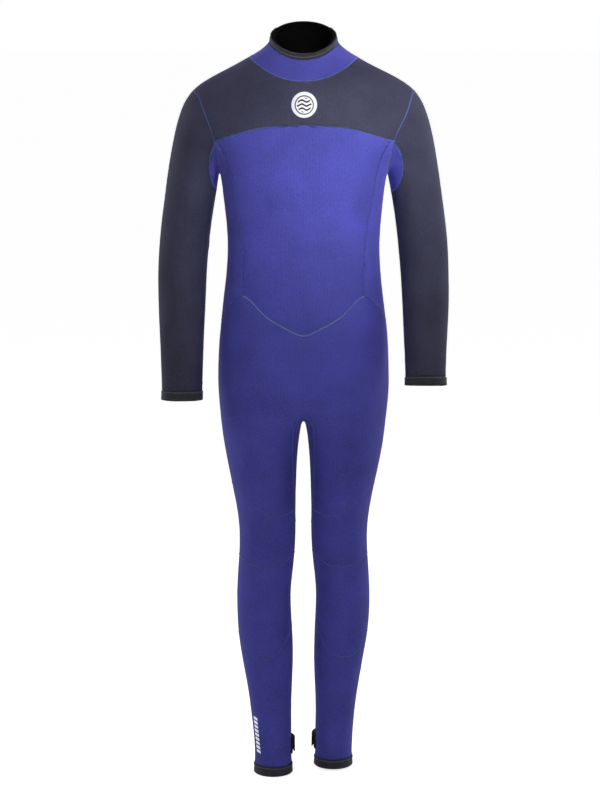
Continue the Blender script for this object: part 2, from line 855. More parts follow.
@dataclass(frozen=True)
class Stitch:
    """A flat zigzag seam: thread that crosses from side to side and dips into the cloth at each turn."""

    pitch: float = 1.9 * MM
    reach: float = 1.25 * MM
    radius: float = 0.33 * MM
    rise: float = 0.3 * MM
    dip: float = 0.35 * MM

    def sewn(self, paths: list[SeamPath]) -> bpy.types.Mesh:
        """One mesh of thread along some seams."""
        verts: list = []
        faces: list = []
        for path in paths:
            line = path.resampled(self.pitch / 4)
            along = np.gradient(line.points, axis=0)
            side = np.cross(line.normals, along)
            side /= np.maximum(np.linalg.norm(side, axis=1, keepdims=True), 1e-9)
            turn = np.arange(len(line.points)) % 4
            across = np.choose(turn, [-1.0, 0.0, 1.0, 0.0])[:, None] * self.reach
            high = np.where(turn % 2 == 1, self.rise, -self.dip)[:, None]
            crossing = line.points + side * across + line.normals * high
            add_tube(crossing, line.normals, self.radius, verts, faces)
        return mesh_of("thread", verts, faces)


@dataclass(frozen=True)
class Lockstitch:
    """A straight row of stitches: short humps of thread with their ends sunk in the cloth."""

    pitch: float = 3.0 * MM
    radius: float = 0.32 * MM
    rise: float = 0.22 * MM
    dip: float = 0.45 * MM

    def sewn(self, paths: list[SeamPath]) -> bpy.types.Mesh:
        """One mesh of thread along some lines."""
        verts: list = []
        faces: list = []
        for path in paths:
            line = path.resampled(self.pitch / 4)
            turn = np.arange(len(line.points)) % 4
            high = np.choose(turn, [-self.dip, self.rise * 0.7, self.rise, self.rise * 0.7])[:, None]
            add_tube(line.points + line.normals * high, line.normals, self.radius, verts, faces)
        return mesh_of("thread", verts, faces)


def add_tube(points: np.ndarray, normals: np.ndarray, radius: float, verts: list, faces: list) -> None:
    """Adds a closed four-sided tube along some points to lists of vertices and faces."""
    along = np.gradient(points, axis=0)
    along /= np.maximum(np.linalg.norm(along, axis=1, keepdims=True), 1e-9)
    side = np.cross(normals, along)
    side /= np.maximum(np.linalg.norm(side, axis=1, keepdims=True), 1e-9)
    up = np.cross(along, side)
    first = len(verts)
    ways = (side, up, -side, -up)
    ring = np.stack([points + way * radius for way in ways], axis=1)
    verts.extend(map(tuple, ring.reshape(-1, 3)))
    for row in range(len(points) - 1):
        base = first + row * 4
        for k in range(4):
            nxt = (k + 1) % 4
            faces.append((base + k, base + nxt, base + 4 + nxt, base + 4 + k))
    last = first + (len(points) - 1) * 4
    faces.append((first + 3, first + 2, first + 1, first))
    faces.append((last, last + 1, last + 2, last + 3))


def mesh_of(name: str, verts: list, faces: list) -> bpy.types.Mesh:
    """A smooth-shaded mesh with its faces turned outwards."""
    mesh = bpy.data.meshes.new(name)
    mesh.from_pydata(verts, [], faces)
    shape = bmesh.new()
    shape.from_mesh(mesh)
    bmesh.ops.recalc_face_normals(shape, faces=shape.faces[:])
    for face in shape.faces:
        face.smooth = True
    shape.to_mesh(mesh)
    shape.free()
    return mesh


@dataclass
class SeamPlan:
    """Where the suit is cut, as (x, z) points in mm on one half of the front, and mirrored."""

    yoke: tuple = ((0, -111), (69, -116), (117, -129), (142, -137), (160, -143))
    yoke_back: tuple = ((0, -150), (80, -152), (140, -160))
    waist: tuple = ((0, -455), (59, -424), (99, -390), (127, -418), (142, -436))
    waist_back_z: float = -440 * MM
    # The princess seam is given as (z, x) points, because it runs up the body.
    princess: tuple = (
        (-390, 99), (-340, 98), (-287, 103), (-229, 112), (-172, 123), (-139, 139), (-110, 152),
    )
    knee_top: tuple = ((0, -750), (12, -750), (45, -755), (76, -740), (103, -722), (125, -700))
    knee_foot: tuple = ((0, -818), (15, -824), (40, -839), (65, -843), (90, -837), (108, -827))
    shin_foot: tuple = ((14, -935), (20, -952), (43, -989), (64, -1000), (84, -998), (101, -980), (113, -952))
    # The crotch gusset's edge is given as (z, x) points too.
    gusset: tuple = ((-790, 12), (-760, 14), (-715, 17), (-650, 18), (-610, 17), (-594, 10), (-583, -4))
    back_y: float = 46 * MM
    leg_y: float = 14 * MM
    knee_back_z: float = -795 * MM
    underarm_centre: tuple = (134, -182)
    underarm_radii: dict = field(default_factory=lambda: {-1: (19, 44), 1: (28, 44)})
    # The seam down the outer and inner arm is given as (z, y) points, for each side.
    arm: dict = field(default_factory=lambda: {
        -1: ((-556, -35), (-440, -9), (-330, 4), (-190, 2), (-50, 0)),
        1: ((-556, -58), (-440, -22), (-330, 4), (-190, 2), (-50, 0)),
    })
    zip_top: float = -20 * MM
    zip_foot: float = -395 * MM
    zip_slot: float = 9.5 * MM
    collar_slit: float = 0.3 * MM

    def cut(self, surface: bmesh.types.BMesh, form: BodyForm) -> Cloth:
        """Cuts the whole surface into its named pieces.

        Args:
            surface: the draped body surface.
            form: the body's shape, for the stride of its legs.

        Returns:
            The cut cloth, with its normals stored.
        """
        cloth = Cloth(surface)
        self.name_zones(cloth)
        self.cut_zip_slot(cloth)
        self.cut_torso(cloth)
        self.cut_legs(cloth, form)
        self.cut_arms(cloth)
        cloth.absorb_slivers()
        store_normals(surface)
        return cloth

    def name_zones(self, cloth: Cloth) -> None:
        """Names each zone of the cage, and tells the three kinds of binding apart by their height."""
        cloth.rename("neck_collar", lambda f: f.material_index == Zone.COLLAR.value)
        cloth.rename("body", lambda f: f.material_index == Zone.TORSO.value)
        cloth.rename("sleeve", lambda f: f.material_index == Zone.SLEEVE.value)
        cloth.rename("hips", lambda f: f.material_index == Zone.LEG.value)
        for name, high, low in (("neck", 1.0, -0.2), ("cuff", -0.2, -0.9), ("ankle", -0.9, -2.0)):
            cloth.rename(
                f"{name}_binding",
                lambda f: f.material_index == Zone.BINDING.value and low < f.calc_center_median().z < high,
            )

    def cut_zip_slot(self, cloth: Cloth) -> None:
        """Opens the back along the zip, and slits the collar above it."""
        for name in ("neck_binding", "neck_collar", "body"):
            cloth.split(name, lambda p: p.y, "rear", name)
            cloth.split("rear", lambda p: p.z - self.zip_top - 4 * MM, "above_zip", "rear")
            cloth.split("above_zip", lambda p: abs(p.x) - self.collar_slit, name, "slot")
            cloth.split("rear", lambda p: abs(p.x) - self.zip_slot, name, "beside_zip")
            cloth.split("beside_zip", lambda p: self.zip_foot - p.z, name, "slot")

    def cut_torso(self, cloth: Cloth) -> None:
        """Cuts the yoke, front, side and back panels above the waist seam."""
        yoke = smooth_curve(self.yoke)
        yoke_back = smooth_curve(self.yoke_back)
        waist = smooth_curve(self.waist)
        princess = smooth_curve(self.princess)

        def yoke_height(p: Vector) -> float:
            """How far a point is above the yoke seam."""
            back = blend(-0.03, 0.03, p.y)
            return p.z - yoke(abs(p.x)) * (1 - back) - yoke_back(abs(p.x)) * back

        def waist_height(p: Vector) -> float:
            """How far a point is above the waist seam."""
            back = blend(-0.05, 0.04, p.y)
            return p.z - waist(abs(p.x)) * (1 - back) - self.waist_back_z * back

        cloth.split("body", yoke_height, "shoulder_yoke", "trunk")
        cloth.split("trunk", waist_height, "trunk", "hips")
        cloth.split("trunk", lambda p: p.y - self.back_y, "back_panel", "trunk")
        cloth.split("trunk", lambda p: abs(p.x) - princess(p.z), "side_panel", "front_torso_panel")
        for face in cloth.faces("back_panel"):
            if abs(face.calc_center_median().x) < self.zip_slot:
                face[cloth.tag] = cloth.number("slot")
        for name in ("side_panel", "back_panel"):
            cloth.sides(name)

    def cut_legs(self, cloth: Cloth, form: BodyForm) -> None:
        """Cuts the hips, seat, crotch gusset, knees, shins, lower legs and calves."""
        gusset = smooth_curve(self.gusset)
        knee_top = smooth_curve(self.knee_top)
        knee_foot = smooth_curve(self.knee_foot)
        shin_foot = smooth_curve(self.shin_foot)

        def side_seam(p: Vector) -> float:
            """How far a point is behind the seam down the side of the leg."""
            stride = form.stride[1 if p.x > 0 else -1] * MM * max(-0.6 - p.z, 0) / 0.6
            return p.y - stride - self.leg_y

        cloth.split("hips", lambda p: gusset(p.z) - abs(p.x), "crotch_gusset", "hips")
        cloth.split("hips", side_seam, "rear_leg", "front_hip_panel")
        cloth.split("rear_leg", lambda p: p.z - self.knee_back_z, "seat_panel", "calf_panel")
        cloth.split("seat_panel", lambda p: p.x, "seat_panel_left", "seat_panel_right")
        cloth.split("front_hip_panel", lambda p: knee_top(abs(p.x)) - p.z, "knee_panel")
        cloth.split("knee_panel", lambda p: knee_foot(abs(p.x)) - p.z, "shin_panel")
        cloth.split("shin_panel", lambda p: shin_foot(abs(p.x)) - p.z, "lower_leg_panel")
        for name in ("calf_panel", "knee_panel", "shin_panel", "lower_leg_panel"):
            cloth.sides(name)

    def cut_arms(self, cloth: Cloth) -> None:
        """Cuts the gussets under the arms out of the sleeves."""

        def underarm(p: Vector) -> float:
            """Positive inside the gusset's oval."""
            width, height = self.underarm_radii[1 if p.x > 0 else -1]
            wide = (abs(p.x) / MM - self.underarm_centre[0]) / width
            tall = (p.z / MM - self.underarm_centre[1]) / height
            return 1 - wide * wide - tall * tall

        seams = {side: smooth_curve(points) for side, points in self.arm.items()}

        def behind_arm_seam(p: Vector) -> float:
            """How far a point is behind the seam down the arm."""
            return p.y - seams[1 if p.x > 0 else -1](p.z)

        cloth.split("sleeve", underarm, "underarm_gusset")
        cloth.split("sleeve", behind_arm_seam, "sleeve_back", "sleeve_front")
        for name in ("sleeve_front", "sleeve_back", "underarm_gusset", "cuff_binding", "ankle_binding"):
            cloth.sides(name)


def hex_colour(code: str) -> tuple[float, float, float, float]:
    """Turns an sRGB hex code into a linear colour."""
    channels = [int(code[i:i + 2], 16) / 255 for i in (1, 3, 5)]
    linear = [c / 12.92 if c <= 0.04045 else ((c + 0.055) / 1.055) ** 2.4 for c in channels]
    return linear[0], linear[1], linear[2], 1.0


def wave_scale(spacing_mm: float) -> float:
    """The Wave Texture scale that puts its bands this far apart."""
    return 2 * math.pi / 20 / (spacing_mm * MM)


def noise_scale(size_mm: float) -> float:
    """The Noise Texture scale whose blots are about this big."""
    return 1 / (size_mm * MM)


def add_node(tree: bpy.types.NodeTree, kind: str, settings: dict | None = None, inputs: dict | None = None):
    """Adds one node to a material.

    Args:
        tree: the material's nodes.
        kind: the node's type.
        settings: the node's own properties.
        inputs: a value, or the output that is linked in, by input name or number.

    Returns:
        The new node.
    """
    made = tree.nodes.new(kind)
    for key, value in (settings or {}).items():
        setattr(made, key, value)
    for key, value in (inputs or {}).items():
        if isinstance(value, bpy.types.NodeSocket):
            tree.links.new(value, made.inputs[key])
        else:
            made.inputs[key].default_value = value
    return made


def new_material(name: str) -> tuple[bpy.types.Material, bpy.types.NodeTree, bpy.types.Node]:
    """A material with its nodes and its Principled shader."""
    material = bpy.data.materials.new(name)
    material.use_nodes = True
    tree = material.node_tree
    return material, tree, tree.nodes["Principled BSDF"]


@dataclass(frozen=True)
class KnitNeoprene:
    """Warp-knitted nylon jersey laminated to foam neoprene.

    The eye sees fine vertical wales with a soft grain, a matt face that lightens at grazing angles
    from the loose fibre, and slow uneven shading where the foam below is pressed thinner.
    """

    name: str
    light: str
    dark: str
    sheen: str
    sheen_weight: float = 0.5
    # Real wales are about 0.6 mm apart; they are drawn at 2 mm so that they still show at arm's length.
    wale_mm: float = 2.0
    course_mm: float = 1.5
    grain_mm: float = 2.6
    cloud_mm: float = 60.0

    def build(self) -> bpy.types.Material:
        """Makes the material."""
        material, tree, shader = new_material(self.name)
        place = add_node(tree, "ShaderNodeUVMap", {"uv_map": "cloth"}).outputs["UV"]
        solid = add_node(tree, "ShaderNodeTexCoord").outputs["Object"]
        wales = add_node(tree, "ShaderNodeTexWave", {"bands_direction": "X"}, {
            "Vector": place, "Scale": wave_scale(self.wale_mm), "Distortion": 0.6, "Detail": 1.0,
            "Detail Scale": 0.5,
        }).outputs["Fac"]
        courses = add_node(tree, "ShaderNodeTexWave", {"bands_direction": "Y"}, {
            "Vector": place, "Scale": wave_scale(self.course_mm), "Distortion": 0.8, "Detail": 1.0,
            "Detail Scale": 0.5,
        }).outputs["Fac"]
        loops = add_node(tree, "ShaderNodeMath", {"operation": "MULTIPLY"}, {0: wales, 1: courses}).outputs[0]
        grain = add_node(tree, "ShaderNodeTexNoise", None, {
            "Vector": solid, "Scale": noise_scale(self.grain_mm), "Detail": 4.0, "Roughness": 0.65,
        }).outputs["Fac"]
        cloud = add_node(tree, "ShaderNodeTexNoise", None, {
            "Vector": solid, "Scale": noise_scale(self.cloud_mm), "Detail": 2.0,
        }).outputs["Fac"]
        texture = add_node(tree, "ShaderNodeMath", {"operation": "MULTIPLY_ADD"}, {
            0: loops, 1: 0.5, 2: grain,
        }).outputs[0]
        mixed = add_node(tree, "ShaderNodeMath", {"operation": "MULTIPLY_ADD"}, {
            0: cloud, 1: 0.55, 2: texture,
        }).outputs[0]
        share = add_node(tree, "ShaderNodeMapRange", None, {
            "Value": mixed, "From Min": 0.6, "From Max": 1.2,
        }).outputs["Result"]
        colour = add_node(tree, "ShaderNodeMix", {"data_type": "RGBA"}, {
            0: share, 6: hex_colour(self.dark), 7: hex_colour(self.light),
        }).outputs[2]
        roughness = add_node(tree, "ShaderNodeMapRange", None, {
            "Value": grain, "From Min": 0.3, "From Max": 0.7, "To Min": 0.68, "To Max": 0.86,
        }).outputs["Result"]
        bump = add_node(tree, "ShaderNodeBump", None, {
            "Height": texture, "Strength": 0.55, "Distance": 0.35 * MM,
        }).outputs["Normal"]
        tree.links.new(colour, shader.inputs["Base Color"])
        tree.links.new(roughness, shader.inputs["Roughness"])
        tree.links.new(bump, shader.inputs["Normal"])
        shader.inputs["IOR"].default_value = 1.5
        shader.inputs["Specular IOR Level"].default_value = 0.3
        shader.inputs["Sheen Weight"].default_value = self.sheen_weight
        shader.inputs["Sheen Roughness"].default_value = 0.42
        shader.inputs["Sheen Tint"].default_value = hex_colour(self.sheen)
        return material


@dataclass(frozen=True)
class WovenTape:
    """Woven or knitted edge tape: crossing yarns with a dull face and a little sheen on their crowns."""

    name: str
    light: str
    dark: str
    # Yarns are about 0.5 mm apart; they are drawn at 1.4 mm so that they show.
    yarn_mm: float = 1.4
    slant: float = 0.0

    def build(self) -> bpy.types.Material:
        """Makes the material."""
        material, tree, shader = new_material(self.name)
        solid = add_node(tree, "ShaderNodeTexCoord").outputs["Object"]
        turned = add_node(tree, "ShaderNodeMapping", None, {
            "Vector": solid, "Rotation": (0.0, self.slant, 0.0),
        }).outputs["Vector"]
        warp = add_node(tree, "ShaderNodeTexWave", {"bands_direction": "X"}, {
            "Vector": turned, "Scale": wave_scale(self.yarn_mm), "Distortion": 0.5,
        }).outputs["Fac"]
        weft = add_node(tree, "ShaderNodeTexWave", {"bands_direction": "Z"}, {
            "Vector": turned, "Scale": wave_scale(self.yarn_mm * 0.8), "Distortion": 0.5,
        }).outputs["Fac"]
        weave = add_node(tree, "ShaderNodeMath", {"operation": "MULTIPLY"}, {0: warp, 1: weft}).outputs[0]
        wear = add_node(tree, "ShaderNodeTexNoise", None, {
            "Vector": solid, "Scale": noise_scale(9.0), "Detail": 5.0,
        }).outputs["Fac"]
        share = add_node(tree, "ShaderNodeMath", {"operation": "MULTIPLY_ADD"}, {
            0: weave, 1: 0.6, 2: wear,
        }).outputs[0]
        colour = add_node(tree, "ShaderNodeMix", {"data_type": "RGBA"}, {
            0: share, 6: hex_colour(self.dark), 7: hex_colour(self.light),
        }).outputs[2]
        bump = add_node(tree, "ShaderNodeBump", None, {
            "Height": share, "Strength": 0.6, "Distance": 0.3 * MM,
        }).outputs["Normal"]
        tree.links.new(colour, shader.inputs["Base Color"])
        tree.links.new(bump, shader.inputs["Normal"])
        shader.inputs["Roughness"].default_value = 0.78
        shader.inputs["Specular IOR Level"].default_value = 0.35
        shader.inputs["Sheen Weight"].default_value = 0.15
        return material


@dataclass(frozen=True)
class PlushLining:
    """Black brushed lining and the cut foam edge: so matt and deep that it hardly takes light."""

    name: str = "black_plush_lining"
    colour: str = "#0B0B0E"

    def build(self) -> bpy.types.Material:
        """Makes the material."""
        material, tree, shader = new_material(self.name)
        solid = add_node(tree, "ShaderNodeTexCoord").outputs["Object"]
        pile = add_node(tree, "ShaderNodeTexNoise", None, {
            "Vector": solid, "Scale": noise_scale(1.6), "Detail": 3.0,
        }).outputs["Fac"]
        colour = add_node(tree, "ShaderNodeMix", {"data_type": "RGBA"}, {
            0: pile, 6: hex_colour("#050507"), 7: hex_colour(self.colour),
        }).outputs[2]
        bump = add_node(tree, "ShaderNodeBump", None, {
            "Height": pile, "Strength": 0.5, "Distance": 0.4 * MM,
        }).outputs["Normal"]
        tree.links.new(colour, shader.inputs["Base Color"])
        tree.links.new(bump, shader.inputs["Normal"])
        shader.inputs["Roughness"].default_value = 0.95
        shader.inputs["Specular IOR Level"].default_value = 0.12
        return material


@dataclass(frozen=True)
class Thread:
    """Twisted polyester sewing thread: a smooth satin yarn with a fine diagonal twist."""

    name: str
    light: str
    dark: str

    def build(self) -> bpy.types.Material:
        """Makes the material."""
        material, tree, shader = new_material(self.name)
        solid = add_node(tree, "ShaderNodeTexCoord").outputs["Object"]
        twist = add_node(tree, "ShaderNodeTexWave", {"bands_direction": "DIAGONAL"}, {
            "Vector": solid, "Scale": wave_scale(0.7), "Distortion": 0.4,
        }).outputs["Fac"]
        colour = add_node(tree, "ShaderNodeMix", {"data_type": "RGBA"}, {
            0: twist, 6: hex_colour(self.dark), 7: hex_colour(self.light),
        }).outputs[2]
        bump = add_node(tree, "ShaderNodeBump", None, {
            "Height": twist, "Strength": 0.3, "Distance": 0.1 * MM,
        }).outputs["Normal"]
        tree.links.new(colour, shader.inputs["Base Color"])
        tree.links.new(bump, shader.inputs["Normal"])
        shader.inputs["Roughness"].default_value = 0.5
        shader.inputs["Sheen Weight"].default_value = 0.2
        return material


@dataclass(frozen=True)
class MouldedPlastic:
    """Injection-moulded acetal, as in zip teeth: a slightly waxy black with faint scuffs."""

    name: str = "moulded_black_acetal"
    colour: str = "#17171A"
    scuffed: str = "#2B2B30"
    roughness: float = 0.38

    def build(self) -> bpy.types.Material:
        """Makes the material."""
        material, tree, shader = new_material(self.name)
        solid = add_node(tree, "ShaderNodeTexCoord").outputs["Object"]
        scuffs = add_node(tree, "ShaderNodeTexNoise", None, {
            "Vector": solid, "Scale": noise_scale(2.2), "Detail": 6.0, "Roughness": 0.7,
        }).outputs["Fac"]
        colour = add_node(tree, "ShaderNodeMix", {"data_type": "RGBA"}, {
            0: scuffs, 6: hex_colour(self.colour), 7: hex_colour(self.scuffed),
        }).outputs[2]
        roughness = add_node(tree, "ShaderNodeMapRange", None, {
            "Value": scuffs, "To Min": self.roughness - 0.08, "To Max": self.roughness + 0.14,
        }).outputs["Result"]
        bump = add_node(tree, "ShaderNodeBump", None, {
            "Height": scuffs, "Strength": 0.15, "Distance": 0.1 * MM,
        }).outputs["Normal"]
        tree.links.new(colour, shader.inputs["Base Color"])
        tree.links.new(roughness, shader.inputs["Roughness"])
        tree.links.new(bump, shader.inputs["Normal"])
        shader.inputs["IOR"].default_value = 1.48
        return material


@dataclass(frozen=True)
class HookAndLoop:
    """Hook or loop tape: a dense field of tiny nylon stems, rough to the eye and with a dry glint."""

    name: str
    stem_mm: float
    rise_mm: float

    def build(self) -> bpy.types.Material:
        """Makes the material."""
        material, tree, shader = new_material(self.name)
        solid = add_node(tree, "ShaderNodeTexCoord").outputs["Object"]
        stems = add_node(tree, "ShaderNodeTexVoronoi", None, {
            "Vector": solid, "Scale": noise_scale(self.stem_mm),
        }).outputs["Distance"]
        colour = add_node(tree, "ShaderNodeMix", {"data_type": "RGBA"}, {
            0: stems, 6: hex_colour("#2A2A2F"), 7: hex_colour("#0A0A0C"),
        }).outputs[2]
        bump = add_node(tree, "ShaderNodeBump", {"invert": True}, {
            "Height": stems, "Strength": 0.9, "Distance": self.rise_mm * MM,
        }).outputs["Normal"]
        tree.links.new(colour, shader.inputs["Base Color"])
        tree.links.new(bump, shader.inputs["Normal"])
        shader.inputs["Roughness"].default_value = 0.85
        return material


@dataclass(frozen=True)
class BadgePrint:
    """A moulded white silicone badge, with a plain pattern of dark waves inside a ring."""

    name: str = "white_silicone_badge"
    centre: tuple = (1.0, -79.0)
    ring_mm: float = 14.5
    wave_mm: float = 6.4

    def build(self) -> bpy.types.Material:
        """Makes the material."""
        material, tree, shader = new_material(self.name)
        solid = add_node(tree, "ShaderNodeTexCoord").outputs["Object"]
        moved = add_node(tree, "ShaderNodeMapping", {"vector_type": "POINT"}, {
            "Vector": solid,
            "Location": (-self.centre[0] * 1.0, 0.0, -self.centre[1] * 1.0),
            "Scale": (1 / MM, 0.0, 1 / MM),
        }).outputs["Vector"]
        away = add_node(tree, "ShaderNodeVectorMath", {"operation": "LENGTH"}, {0: moved}).outputs["Value"]
        parts = add_node(tree, "ShaderNodeSeparateXYZ", None, {0: moved}).outputs
        swing = add_node(tree, "ShaderNodeMath", {"operation": "MULTIPLY"}, {
            0: parts["X"], 1: 0.42,
        }).outputs[0]
        bend = add_node(tree, "ShaderNodeMath", {"operation": "SINE"}, {0: swing}).outputs[0]
        level = add_node(tree, "ShaderNodeMath", {"operation": "MULTIPLY_ADD"}, {
            0: bend, 1: 1.5, 2: parts["Z"],
        }).outputs[0]
        phase = add_node(tree, "ShaderNodeMath", {"operation": "MULTIPLY"}, {
            0: level, 1: 2 * math.pi / self.wave_mm,
        }).outputs[0]
        waves = add_node(tree, "ShaderNodeMath", {"operation": "COSINE"}, {0: phase}).outputs[0]
        crest = add_node(tree, "ShaderNodeMapRange", None, {
            "Value": waves, "From Min": 0.0, "From Max": 0.25,
        }).outputs["Result"]
        inside = add_node(tree, "ShaderNodeMapRange", None, {
            "Value": away, "From Min": self.ring_mm - 2.6, "From Max": self.ring_mm - 3.0,
        }).outputs["Result"]
        ring = add_node(tree, "ShaderNodeMath", {"operation": "COMPARE"}, {
            0: away, 1: self.ring_mm, 2: 0.9,
        }).outputs[0]
        mark = add_node(tree, "ShaderNodeMath", {"operation": "MULTIPLY"}, {0: crest, 1: inside}).outputs[0]
        dark = add_node(tree, "ShaderNodeMath", {"operation": "MAXIMUM"}, {0: mark, 1: ring}).outputs[0]
        specks = add_node(tree, "ShaderNodeTexNoise", None, {
            "Vector": solid, "Scale": noise_scale(3.0), "Detail": 4.0,
        }).outputs["Fac"]
        white = add_node(tree, "ShaderNodeMix", {"data_type": "RGBA"}, {
            0: specks, 6: hex_colour("#D9D9E2"), 7: hex_colour("#F6F6FA"),
        }).outputs[2]
        colour = add_node(tree, "ShaderNodeMix", {"data_type": "RGBA"}, {
            0: dark, 6: white, 7: hex_colour("#23222E"),
        }).outputs[2]
        bump = add_node(tree, "ShaderNodeBump", None, {
            "Height": dark, "Strength": 0.5, "Distance": 0.4 * MM,
        }).outputs["Normal"]
        tree.links.new(colour, shader.inputs["Base Color"])
        tree.links.new(bump, shader.inputs["Normal"])
        shader.inputs["Roughness"].default_value = 0.5
        shader.inputs["IOR"].default_value = 1.41
        return material


@dataclass(frozen=True)
class TransferFilm:
    """Reflective heat-transfer film: a thin bright white with the knit's grain pressed up through it."""

    name: str = "white_transfer_film"

    def build(self) -> bpy.types.Material:
        """Makes the material."""
        material, tree, shader = new_material(self.name)
        solid = add_node(tree, "ShaderNodeTexCoord").outputs["Object"]
        grain = add_node(tree, "ShaderNodeTexNoise", None, {
            "Vector": solid, "Scale": noise_scale(1.6), "Detail": 4.0,
        }).outputs["Fac"]
        colour = add_node(tree, "ShaderNodeMix", {"data_type": "RGBA"}, {
            0: grain, 6: hex_colour("#D6D8E4"), 7: hex_colour("#FFFFFF"),
        }).outputs[2]
        bump = add_node(tree, "ShaderNodeBump", None, {
            "Height": grain, "Strength": 0.4, "Distance": 0.15 * MM,
        }).outputs["Normal"]
        tree.links.new(colour, shader.inputs["Base Color"])
        tree.links.new(bump, shader.inputs["Normal"])
        tree.links.new(colour, shader.inputs["Emission Color"])
        # A faint glow stands in for the light that beads in such a film send back.
        shader.inputs["Emission Strength"].default_value = 0.4
        shader.inputs["Roughness"].default_value = 0.45
        return material


@dataclass(frozen=True)
class StudioPaper:
    """Matt white backdrop paper, with its faint fibre."""

    name: str = "studio_paper"
    glow: float = 0.8

    def build(self) -> bpy.types.Material:
        """Makes the material."""
        material, tree, shader = new_material(self.name)
        solid = add_node(tree, "ShaderNodeTexCoord").outputs["Object"]
        fibre = add_node(tree, "ShaderNodeTexNoise", None, {
            "Vector": solid, "Scale": noise_scale(40.0), "Detail": 3.0,
        }).outputs["Fac"]
        colour = add_node(tree, "ShaderNodeMix", {"data_type": "RGBA"}, {
            0: fibre, 6: hex_colour("#F4F4F5"), 7: hex_colour("#FCFCFC"),
        }).outputs[2]
        tree.links.new(colour, shader.inputs["Base Color"])
        shader.inputs["Roughness"].default_value = 0.9
        shader.inputs["Specular IOR Level"].default_value = 0.1
        shader.inputs["Emission Color"].default_value = hex_colour("#FFFFFF")
        seen = add_node(tree, "ShaderNodeLightPath").outputs["Is Camera Ray"]
        glow = add_node(tree, "ShaderNodeMath", {"operation": "MULTIPLY"}, {0: seen, 1: self.glow}).outputs[0]
        tree.links.new(glow, shader.inputs["Emission Strength"])
        return material


class Finishes:
    """Every finish of the suit, made once."""

    def __init__(self) -> None:
        """Makes the materials."""
        self.blue = KnitNeoprene("blue_knit_neoprene", "#5152BC", "#36377E", "#8A86E8").build()
        self.side_blue = KnitNeoprene("side_blue_knit_neoprene", "#5859C8", "#3B3C8A", "#9A94F0").build()
        self.charcoal = KnitNeoprene("charcoal_knit_neoprene", "#41415A", "#242436", "#7A76A8", 0.35).build()
        self.lining = PlushLining().build()
        self.binding = WovenTape("dark_knitted_binding", "#35353F", "#17171C").build()
        self.strap = WovenTape("black_strap_webbing", "#26262B", "#0C0C0F").build()
        self.zip_tape = WovenTape("black_woven_zip_tape", "#222227", "#0A0A0C", 1.2, math.radians(35)).build()
        self.acetal = MouldedPlastic().build()
        self.hooks = HookAndLoop("nylon_hook_tape", 1.5, 0.5).build()
        self.loops = HookAndLoop("brushed_nylon_loop_tape", 2.4, 0.7).build()
        self.badge = BadgePrint().build()
        self.film = TransferFilm().build()
        self.bright_thread = Thread("steel_blue_thread", "#5478C6", "#2F4A8E").build()
        self.muted_thread = Thread("indigo_thread", "#3A4796", "#1F2558").build()
        self.leg_thread = Thread("cornflower_thread", "#6F8FD8", "#4258A8").build()
        self.grey_thread = Thread("charcoal_grey_thread", "#7C7C8C", "#3E3E4A").build()
        self.pale_thread = Thread("teal_blue_thread", "#7CB0DC", "#4A7CB4").build()
        self.black_thread = Thread("black_thread", "#1C1C22", "#0A0A0D").build()


def finished(
    name: str, mesh: bpy.types.Mesh, body: str, nodes: tuple, materials: tuple,
) -> bpy.types.Object:
    """Puts a finished mesh in the scene as a piece of the suit.

    Args:
        name: the piece's name.
        mesh: its mesh, in place.
        body: the body that it moves with.
        nodes: the nodes that it stands for.
        materials: its materials, in the order of its material indices.

    Returns:
        The new object.
    """
    mesh.name = name
    for material in materials:
        mesh.materials.append(material)
    piece = bpy.data.objects.new(name, mesh)
    bpy.context.scene.collection.objects.link(piece)
    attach(piece, body)
    if nodes:
        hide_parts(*nodes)
    LOG.info("%s: %d faces", name, len(mesh.polygons))
    return piece


@dataclass
class SewnPanels:
    """All the cloth panels between the seams, and the bindings that finish the openings."""

    finishes: Finishes
    thickness: float = 4.5 * MM
    binding_proud: float = 1.3 * MM

    def build(self, surface: bmesh.types.BMesh, cloth: Cloth) -> None:
        """Thickens and dresses every piece of the cut cloth."""
        f = self.finishes
        dark = ("shoulder_yoke", "sleeve_front", "sleeve_back")
        outsides = dict.fromkeys(dark, f.charcoal) | {"side_panel": f.side_blue}
        slots = dict.fromkeys(dark, "neoprene_charcoal") | {"side_panel": "neoprene_light_blue"}
        for name in cloth.names:
            faces = cloth.faces(name)
            if not faces or name == "slot":
                continue
            stem = name.removesuffix("_left").removesuffix("_right")
            if stem.endswith("binding"):
                proud = self.binding_proud
                mesh = shell(surface, faces, proud, -self.thickness - proud, BINDING_ROLL)
                finished(f"{name}_tape", mesh, SUIT, (name,), (f.binding, f.lining))
            else:
                mesh = shell(surface, faces, 0.0, -self.thickness, CLOTH_ROLL)
                outside = outsides.get(stem, f.blue)
                finished(f"{name}_cloth", mesh, SUIT, (name,), (outside, f.lining))


